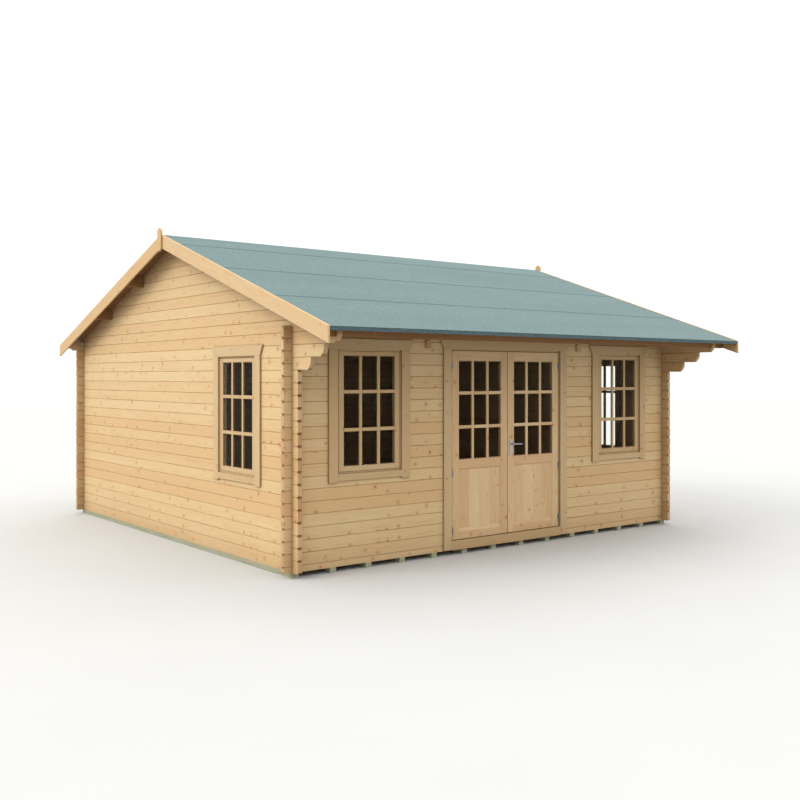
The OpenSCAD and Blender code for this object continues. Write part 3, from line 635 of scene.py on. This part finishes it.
def roof_planks(side, name):
    """Matched boards from ridge to eaves, with a V along each joint."""
    low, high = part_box("roof_boards_" + name)
    reach = roof_high.y
    eaves_z = ridge_z - reach * fall
    outline = [(0, ridge_z), (side * reach, eaves_z), (side * reach, eaves_z + board_v),
               (0, boards_top)]
    count = round((high.x - low.x) / ROOF_BOARD_W)
    width = (high.x - low.x) / count
    stack = Stack()
    for i in range(count):
        stack.board(outline, low.x + i * width, low.x + (i + 1) * width, ACROSS,
                    -side * PITCH, ROOF_BOARD_V)
    boards_piece("roof_planks_" + name, stack, shaded_roof_wood, "cabin", "roof_boards",
                 "roof_boards_" + name)


def barge_planks(name):
    """Two sloping boards that meet in a plumb joint at the ridge."""
    node = name + "_barge_boards"
    low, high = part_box(node)
    stack = Stack()
    for side in (FRONT, BACK):
        near, tip = side * PLUMB_GAP, side * high.y
        drop = high.y * fall
        stack.board([(near, high.z - BARGE_H), (near, high.z), (tip, high.z - drop),
                     (tip, high.z - drop - BARGE_H)], low.x, high.x, ACROSS, -side * PITCH,
                    BARGE_EASE)
    boards_piece(name + "_barge_planks", stack, barge_wood, "cabin", "barge_boards", node)


def ridge_points():
    """A pointed board over each end of the ridge."""
    low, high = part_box("finials")
    thick = high.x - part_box("right_barge_boards")[1].x
    half = high.y
    tip = 2 * half / 3
    stack = Stack()
    for x in (low.x, high.x - thick):
        stack.board([(-half, high.z - tip), (0, high.z), (half, high.z - tip),
                     (half, low.z + tip), (0, low.z), (-half, low.z + tip)],
                    x, x + thick, ACROSS, UPRIGHT, BARGE_EASE)
    boards_piece("ridge_point_boards", stack, barge_wood, "cabin", "barge_boards", "finials")


# ---------------------------------------------------------------- windows and doors

def facing(node, sash_z):
    """Places a window: x to its right, y into the wall, z up from the sash's lower edge."""
    low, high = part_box(node)
    middle = (low + high) / 2
    if node.startswith("left"):
        return Matrix.Translation((low.x, middle.y, sash_z)) @ Matrix.Rotation(-UPRIGHT, 4, "Z")
    if node.startswith("right"):
        return Matrix.Translation((high.x, middle.y, sash_z)) @ Matrix.Rotation(UPRIGHT, 4, "Z")
    return Matrix.Translation((middle.x, low.y, sash_z))


def head_board(stack, half_w, z, place):
    """The board over an opening, with flared ends."""
    stack.board([(-half_w, z), (half_w, z), (half_w + HEAD_FLARE, z + TRIM_W),
                 (-half_w - HEAD_FLARE, z + TRIM_W)], -TRIM_T, 0, place)


def lining(stack, x, z0, z1, thick, y0, y1, place, sill):
    """Boards round the inside of an opening, from x = -x to x and from z0 to z1."""
    for a, b in ((-x - thick, -x), (x, x + thick)):
        stack.board(rect(a, z0 - sill, b, z1 + thick), y0, y1, place, UPRIGHT)
    stack.board(rect(-x, z1, x, z1 + thick), y0, y1, place)
    if sill:
        stack.board(rect(-x, z0 - sill, x, z0), y0, y1, place)


def window_casing(name):
    """Lining and stops of a window, and the four trim boards round it. The upright ones run
    on below the sill."""
    sash_low, sash_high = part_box(name + "_sash")
    size = sash_high - sash_low
    half = max(size.x, size.y) / 2
    top = size.z
    place = facing(name + "_sash", sash_low.z)
    stack = Stack()
    lining(stack, half + SASH_GAP, -SASH_GAP, top + SASH_GAP, JAMB_T, 0, FRAME_D, place, JAMB_T)
    stop = half + SASH_GAP - STOP_W
    lining(stack, stop, STOP_W - SASH_GAP, top + SASH_GAP - STOP_W, STOP_W, LEAF_T, FRAME_D,
           place, STOP_W)
    near = half + TRIM_REVEAL
    low = -TRIM_REVEAL - SILL_TRIM_H
    for a, b in ((-near - TRIM_W, -near), (near, near + TRIM_W)):
        stack.board(rect(a, low - LEG_DROP, b, top + TRIM_REVEAL), -TRIM_T, 0, place, UPRIGHT)
    stack.board(rect(-near, low, near, -TRIM_REVEAL), -TRIM_T, 0, place)
    head_board(stack, near + TRIM_W, top + TRIM_REVEAL, place)
    boards_piece(name + "_casing", stack, trim_wood, "cabin", "window_frames", name + "_frame")


def glazing(stack, x0, z0, x1, z1, place):
    """Bars on both faces of the glass, and a bead round the back of it."""
    pane_w = (x1 - x0 - (PANES - 1) * BAR_W) / PANES
    pane_h = (z1 - z0 - (PANES - 1) * BAR_W) / PANES
    for y0, y1, ease in ((0, OUTER_BAR_T, OUTER_BAR_EASE),
                         (GLASS_BACK, GLASS_BACK + INNER_BAR_T, INNER_BAR_EASE)):
        for i in range(1, PANES):
            x = x0 + i * pane_w + (i - 1) * BAR_W
            stack.board(rect(x, z0, x + BAR_W, z1), y0, y1, place, UPRIGHT, ease)
            z = z0 + i * pane_h + (i - 1) * BAR_W
            for j in range(PANES):
                x = x0 + j * (pane_w + BAR_W)
                stack.board(rect(x, z, x + pane_w, z + BAR_W), y0, y1, place, 0.0, ease)
    stack.slope_ring(x0, z0, x1, z1, BEAD, BEAD, BEAD, GLASS_BACK + BEAD, GLASS_BACK, place)


def window_sash(name):
    """Two stiles, two rails and the bars of one sash."""
    low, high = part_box(name + "_sash")
    glass_low, glass_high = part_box(name + "_glass")
    half = max((high - low).x, (high - low).y) / 2
    glass_half = max((glass_high - glass_low).x, (glass_high - glass_low).y) / 2 - PANE_GRIP
    top = high.z - low.z
    sill, head = glass_low.z - low.z + PANE_GRIP, glass_high.z - low.z - PANE_GRIP
    place = facing(name + "_sash", low.z)
    stack = Stack()
    for a, b in ((-half, -glass_half), (glass_half, half)):
        stack.board(rect(a, 0, b, top), 0, LEAF_T, place, UPRIGHT)
    stack.board(rect(-glass_half, 0, glass_half, sill), 0, LEAF_T, place)
    stack.board(rect(-glass_half, head, glass_half, top), 0, LEAF_T, place)
    glazing(stack, -glass_half, sill, glass_half, head, place)
    boards_piece(name + "_sash_joinery", stack, trim_wood, "cabin", "sashes", name + "_sash")


def door_casing():
    """Lining, stops and threshold of the doorway, and the trim boards round it."""
    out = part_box("door_frame")[1].x
    half = out - JAMB_T
    leaf_low, leaf_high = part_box("right_door_leaf")
    head = leaf_high.z + DOOR_GAP
    threshold = leaf_low.z - DOOR_GAP
    place = Matrix.Translation((0, front_y, 0))
    stack = Stack()
    stack.board(rect(-out, on_bearers, out, threshold), 0, FRAME_D, place)
    lining(stack, half, threshold, head, JAMB_T, 0, FRAME_D, place, 0)
    lining(stack, half - STOP_W, threshold, head - STOP_W, STOP_W, LEAF_T + DOOR_GAP, FRAME_D,
           place, 0)
    near = leaf_high.x + TRIM_REVEAL
    stack.board(rect(-near, on_bearers, near, threshold), -TRIM_T, 0, place)
    boards_piece("door_casing", stack, trim_wood, "cabin", "door_frame", "door_frame")
    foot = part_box("door_trim")[0].z
    top = leaf_high.z + TRIM_REVEAL
    stack = Stack()
    for a, b in ((-near - TRIM_W, -near), (near, near + TRIM_W)):
        stack.board(rect(a, foot, b, top), -TRIM_T, 0, place, UPRIGHT)
    head_board(stack, near + TRIM_W, top, place)
    boards_piece("door_trim_planks", stack, trim_wood, "cabin", "door_frame", "door_trim")


def door_leaf(name):
    """Stiles, rails and bars, and a lower panel of glued strips with bevels round it."""
    low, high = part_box(name + "_leaf")
    glass_low, glass_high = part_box(name + "_glass")
    place = Matrix.Translation((0, front_y, 0))
    stack = Stack()
    x0, x1 = glass_low.x + PANE_GRIP, glass_high.x - PANE_GRIP
    sill, head = glass_low.z + PANE_GRIP, glass_high.z - PANE_GRIP
    for a, b in ((low.x, x0), (x1, high.x)):
        stack.board(rect(a, low.z, b, high.z), 0, LEAF_T, place, UPRIGHT)
    panel_low, panel_high = low.z + BOTTOM_RAIL, sill - MID_RAIL
    for z0, z1 in ((low.z, panel_low), (panel_high, sill), (head, high.z)):
        stack.board(rect(x0, z0, x1, z1), 0, LEAF_T, place)
    strip = (x1 - x0) / PANEL_STRIPS
    for i in range(PANEL_STRIPS):
        stack.board(rect(x0 + i * strip, panel_low, x0 + (i + 1) * strip, panel_high),
                    PANEL_FACE, LEAF_T - PANEL_FACE, place, UPRIGHT, PANEL_EASE)
    for y0, y1 in ((PANEL_STEP, PANEL_FACE), (LEAF_T - PANEL_STEP, LEAF_T - PANEL_FACE)):
        stack.slope_ring(x0, panel_low, x1, panel_high, PANEL_BEAD, PANEL_BEAD, PANEL_SLOPE,
                         y0, y1, place)
    glazing(stack, x0, sill, x1, head, place)
    boards_piece(name + "_joinery", stack, door_wood, name, "door_leaves", name + "_leaf")


# ---------------------------------------------------------------- felt

def felt_run(side, sheets, name, stands_for):
    """Felt on one slope, or over both. Each sheet is a list of rows down the slope: distance
    from the ridge, and heights of the felt's underside and top above the boards. The top
    ripples a little, as felt does in the sun."""
    low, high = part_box("roof_boards_back")
    verts, faces = [], []
    for sheet in sheets:
        first = len(verts)
        for y, under, over in sheet:
            slope_z = boards_top - abs(y) * fall
            for i in range(FELT_COLUMNS + 1):
                x = low.x + (high.x - low.x) * i / FELT_COLUMNS
                ripple = noise.noise(Vector((x * 2.3, y * 3.1, side * 5.0)))
                lift = max(0.0, ripple) * FELT_RIPPLE
                verts.append((x, side * y, slope_z + under))
                verts.append((x, side * y, slope_z + over + lift))
        wide = 2 * (FELT_COLUMNS + 1)
        for r in range(len(sheet) - 1):
            for i in range(FELT_COLUMNS):
                a = first + r * wide + 2 * i
                faces.append((a + 1, a + 3, a + 3 + wide, a + 1 + wide))
                faces.append((a, a + wide, a + 2 + wide, a + 2))
            for a in (first + r * wide, first + r * wide + 2 * FELT_COLUMNS):
                faces.append((a, a + 1, a + 1 + wide, a + wide))
        for r in (0, len(sheet) - 1):
            for i in range(FELT_COLUMNS):
                a = first + r * wide + 2 * i
                faces.append((a, a + 2, a + 3, a + 1))
    mesh = closed_mesh(name, verts, faces)
    return finish_piece(name, mesh, felt_face, "cabin", "felt", stands_for)


def felt_sheet(start, end, lap):
    """Rows of one sheet down the slope. It rises over the sheet below in its last part."""
    count = max(2, round((end - start) / FELT_ROW))
    rows = []
    for i in range(count + 1):
        y = start + (end - start) * i / count
        over_lap = max(0.0, min(1.0, (y - (end - FELT_LAP)) / FELT_LAP))
        rise = over_lap * felt_v if lap else 0.0
        rows.append((y, rise, felt_v + rise))
    return rows


# Section of the bead along a lap's edge: out from the edge in bead widths, up in felt
# thicknesses
SEAM_SECTION = ((0, 0), (0, 0.95), (0.45, 0.85), (1, 0))


def felt_seam(side, y, name):
    """A low black bead of uneven width along a lap's edge, which draws the lap as a dark line.
    """
    low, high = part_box("roof_boards_back")
    verts, faces = [], []
    for i in range(SEAM_STEPS + 1):
        x = low.x + (high.x - low.x) * i / SEAM_STEPS
        wide = SEAM_W * (0.75 + 0.5 * noise.noise(Vector((x * 6, y, side * 3.0))))
        for out, up in SEAM_SECTION:
            run = y + out * wide
            verts.append((x, side * run, boards_top - run * fall + felt_v + up * FELT_T))
    for i in range(SEAM_STEPS):
        for k in range(4):
            a, b = 4 * i + k, 4 * i + (k + 1) % 4
            faces.append((a, a + 4, b + 4, b) if side < 0 else (a, b, b + 4, a + 4))
    last = 4 * SEAM_STEPS
    for ring in ((0, 1, 2, 3), (last + 3, last + 2, last + 1, last)):
        faces.append(ring if side < 0 else ring[::-1])
    mesh = bpy.data.meshes.new("felt_seam_" + name)
    mesh.from_pydata(verts, [], faces)
    finish_piece("felt_seam_" + name, mesh, bitumen_and_painted_shade, "cabin", "felt")


def felt_roof(side, name):
    """Three sheets on each slope, each lapped over the one below, and a drip at the eaves."""
    first = (RIDGE_SHEET_W + FELT_SHEET_W) * down_slope
    second = (RIDGE_SHEET_W + 2 * FELT_SHEET_W) * down_slope
    end = roof_high.y + FELT_T
    sheets = [felt_sheet(0.0, first, True), felt_sheet(first - FELT_LAP, second, True),
              felt_sheet(second - FELT_LAP, end, False)]
    felt_run(side, sheets, "felt_sheets_" + name, "felt_" + name)
    felt_seam(side, first, name + "_upper")
    felt_seam(side, second, name + "_lower")
    felt_seam(side, RIDGE_SHEET_W * down_slope, name + "_ridge")
    # The drip is the felt turned down, drawn in dark bitumen as painted shade
    low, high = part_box("felt_" + name)
    top = boards_top - end * fall + felt_v - DRIP_SET
    near, far = sorted((side * end, side * (end - FELT_T)))
    stack = Stack()
    stack.board(rect(near, low.z, far, top), low.x, high.x, ACROSS, UPRIGHT, DRIP_EASE)
    boards_piece("felt_drip_" + name, stack, bitumen_and_painted_shade, "cabin", "felt")


def ridge_sheet():
    """One sheet folded over the ridge."""
    reach = RIDGE_SHEET_W * down_slope
    rows = [(reach * i / 8, felt_v, 2 * felt_v) for i in range(-8, 9)]
    felt_run(BACK, [rows], "felt_ridge_sheet", "ridge_felt")


# ---------------------------------------------------------------- handle

def swept(path, sides, tall):
    """A bar along a path in x and y: each point has its radius, and z is taller than that."""
    verts, faces = [], []
    for i, (x, y, radius) in enumerate(path):
        before, after = path[max(i - 1, 0)], path[min(i + 1, len(path) - 1)]
        run = Vector((after[0] - before[0], after[1] - before[1])).normalized()
        for k in range(sides):
            turn = 2 * math.pi * k / sides
            out = radius * math.cos(turn)
            verts.append((x - run.y * out, y + run.x * out, radius * tall * math.sin(turn)))
    for i in range(len(path) - 1):
        for k in range(sides):
            a, b = i * sides + k, i * sides + (k + 1) % sides
            faces.append((a, b, b + sides, a + sides))
    faces.append(tuple(range(sides))[::-1])
    faces.append(tuple(range(len(verts) - sides, len(verts))))
    return verts, faces


def smooth_piece(name, verts, faces, material, body, slot, *stands_for):
    """A turned or cast piece: smooth all round, and sharp at its edges."""
    mesh = closed_mesh(name, verts, faces)
    mesh.shade_smooth()
    mesh.set_sharp_from_angle(angle=math.radians(40))
    return finish_piece(name, mesh, material, body, slot, *stands_for)


def lever():
    """A round neck that bends into a flattened arm, with a short return at its tip."""
    low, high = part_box("door_lever")
    plates_low, plates_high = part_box("door_handle_plates")
    mid_door = (plates_low.y + plates_high.y) / 2
    reach = (high.y - low.y) / 2
    plate = (plates_high.y - plates_low.y) / 2
    axis_x = (plates_low.x + plates_high.x) / 2
    axis_z = (low.z + high.z) / 2
    arm_y = reach - ARM_R
    # Collar and neck, out from the plate
    path = [(0, plate, COLLAR_R), (0, plate + 3 * MM, COLLAR_R), (0, plate + 4 * MM, NECK_R),
            (0, arm_y - NECK_BEND, NECK_R)]
    # Bend, a quarter turn
    for i in range(1, 6):
        turn = i * UPRIGHT / 6
        path.append((NECK_BEND * (1 - math.cos(turn)),
                     arm_y - NECK_BEND * (1 - math.sin(turn)), NECK_R))
    # Arm, and the return at its tip
    end = high.x - axis_x - 8 * MM
    path += [(NECK_BEND, arm_y, ARM_R), (end / 2, arm_y, ARM_R), (end - 10 * MM, arm_y, ARM_R),
             (end, arm_y - 3 * MM, ARM_R), (end + 4 * MM, arm_y - 9 * MM, 5.5 * MM),
             (end + 5 * MM, arm_y - 13 * MM, 3.5 * MM)]
    verts, faces = [], []
    for side in (FRONT, BACK):
        bar, skin = swept(path, 20, ARM_TALL)
        first = len(verts)
        verts += [(axis_x + x, mid_door + side * y, axis_z + z) for x, y, z in bar]
        faces += [tuple(first + k for k in f) for f in skin]
    smooth_piece("lever_bars", verts, faces, satin, "lever", "handle", "door_lever")


def disc(x, z, y, side, steps):
    """Rings of a turned shape on a plate: steps are pairs of radius and height."""
    verts, faces = [], []
    sides = 24
    for radius, up in steps:
        for k in range(sides):
            turn = 2 * math.pi * k / sides
            verts.append((x + radius * math.cos(turn), y + side * up,
                          z + radius * math.sin(turn)))
    for i in range(len(steps) - 1):
        for k in range(sides):
            a, b = i * sides + k, i * sides + (k + 1) % sides
            faces.append((a, b, b + sides, a + sides))
    faces.append(tuple(range(sides)))
    faces.append(tuple(range(len(verts) - sides, len(verts))))
    return verts, faces


# Turned shapes in mm, from the plate outwards: pairs of radius and height
SCREW_HEAD = ((3.8, 0), (3.4, 1.0), (2.0, 1.6), (0.6, 1.8))
LOCK_CYLINDER = ((8.5, 0), (8.5, 2.0), (7.7, 2.6), (1.0, 2.6))
SLOT_TOP = ((2.4, 0), (2.4, 0.4), (2.0, 0.5))
SLOT_FOOT = ((1.5, 0), (1.5, 0.4), (1.2, 0.5))
SLOT_FOOT_DOWN = 3.4 * MM
SLOT_FACE = 2.5 * MM


def plate_details():
    """On each plate a raised lock cylinder with its key slot, and two domed screws."""
    low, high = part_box("door_handle_plates")
    mid_x = (low.x + high.x) / 2
    lock_z = low.z + LOCK_UP
    metal, dark = ([], []), ([], [])

    def put(into, turned, z, y, side):
        made, skin = disc(mid_x, z, y, side, [(r * MM, up * MM) for r, up in turned])
        first = len(into[0])
        into[0].extend(made)
        into[1].extend(tuple(first + k for k in f) for f in skin)

    for side, face in ((FRONT, low.y), (BACK, high.y)):
        slot_y = face + side * SLOT_FACE
        for z in (low.z + SCREW_IN, high.z - SCREW_IN):
            put(metal, SCREW_HEAD, z, face, side)
        put(metal, LOCK_CYLINDER, lock_z, face, side)
        # The key slot is two thin dark discs on the cylinder: painted shade of the keyway
        put(dark, SLOT_TOP, lock_z, slot_y, side)
        put(dark, SLOT_FOOT, lock_z - SLOT_FOOT_DOWN, slot_y, side)
    smooth_piece("plate_screws_and_lock", *metal, satin, "right_door", "handle")
    smooth_piece("key_slots_painted_shade", *dark, bitumen_and_painted_shade, "right_door", "handle")


# The boards draw their tones in this order
lever()
plate_details()
floor_planks()
roof_planks(FRONT, "front")
roof_planks(BACK, "back")
barge_planks("left")
barge_planks("right")
ridge_points()
for window in WINDOWS:
    window_casing(window)
    window_sash(window)
door_casing()
door_leaf("left_door")
door_leaf("right_door")
felt_roof(FRONT, "front")
felt_roof(BACK, "back")
ridge_sheet()


# ---------------------------------------------------------------- camera and light

# A level camera at eye height, three quarters on to the front and the left gable wall
EYE = (-7.224, -9.839, 1.817)
LOOKING = math.radians(-37.69)
SENSOR_W = 36
LENS = 43.59
DROP = -0.0294
FAR_CLIP = 200

# Studio light: a white dome, brighter overhead, and one wide warm lamp from the left
SKY_LOW = 1.1
SKY_HIGH = 2.2
LAMP_POWER = 1.65
LAMP_WIDTH = math.radians(35)
LAMP_TILT = math.radians(58)
LAMP_TURN = math.radians(-98)
WARM_WHITE = (1.0, 0.97, 0.92)
FLOOR_REACH = 60


def camera():
    """The camera of the main view."""
    lens = bpy.data.cameras.new("camera")
    lens.sensor_width = SENSOR_W
    lens.lens = LENS
    lens.shift_y = DROP
    lens.clip_end = FAR_CLIP
    stand = bpy.data.objects.new("camera", lens)
    stand.location = EYE
    stand.rotation_euler = (UPRIGHT, 0, LOOKING)
    bpy.context.scene.collection.objects.link(stand)
    bpy.context.scene.camera = stand


def light():
    """The dome and the lamp."""
    sky = bpy.data.worlds.new("studio")
    sky.use_nodes = True
    tree = sky.node_tree
    up = add(tree, "TexCoord", out="Generated")
    up = add(tree, "SeparateXYZ", {0: up}, out="Z")
    glow = add(tree, "MapRange", {0: up, 1: 0.05, 2: 0.9, 3: SKY_LOW, 4: SKY_HIGH},
               interpolation_type="SMOOTHSTEP")
    tree.links.new(glow, tree.nodes["Background"].inputs["Strength"])
    tree.nodes["Background"].inputs["Color"].default_value = (1, 1, 1, 1)
    bpy.context.scene.world = sky
    lamp = bpy.data.lights.new("key", "SUN")
    lamp.energy = LAMP_POWER
    lamp.angle = LAMP_WIDTH
    lamp.color = WARM_WHITE
    hung = bpy.data.objects.new("key", lamp)
    hung.rotation_euler = (LAMP_TILT, 0, LAMP_TURN)
    bpy.context.scene.collection.objects.link(hung)


def floor():
    """The pale studio floor, which isn't part of the cabin."""
    mesh = bpy.data.meshes.new("studio_floor")
    corners = [(x, y, 0) for x, y in rect(-FLOOR_REACH, -FLOOR_REACH, FLOOR_REACH, FLOOR_REACH)]
    mesh.from_pydata(corners, [], [(0, 1, 2, 3)])
    mesh.materials.append(studio_floor())
    ground = bpy.data.objects.new("studio_floor", mesh)
    bpy.context.scene.collection.objects.link(ground)


camera()
light()
floor()
bpy.context.scene.view_settings.view_transform = "Standard"
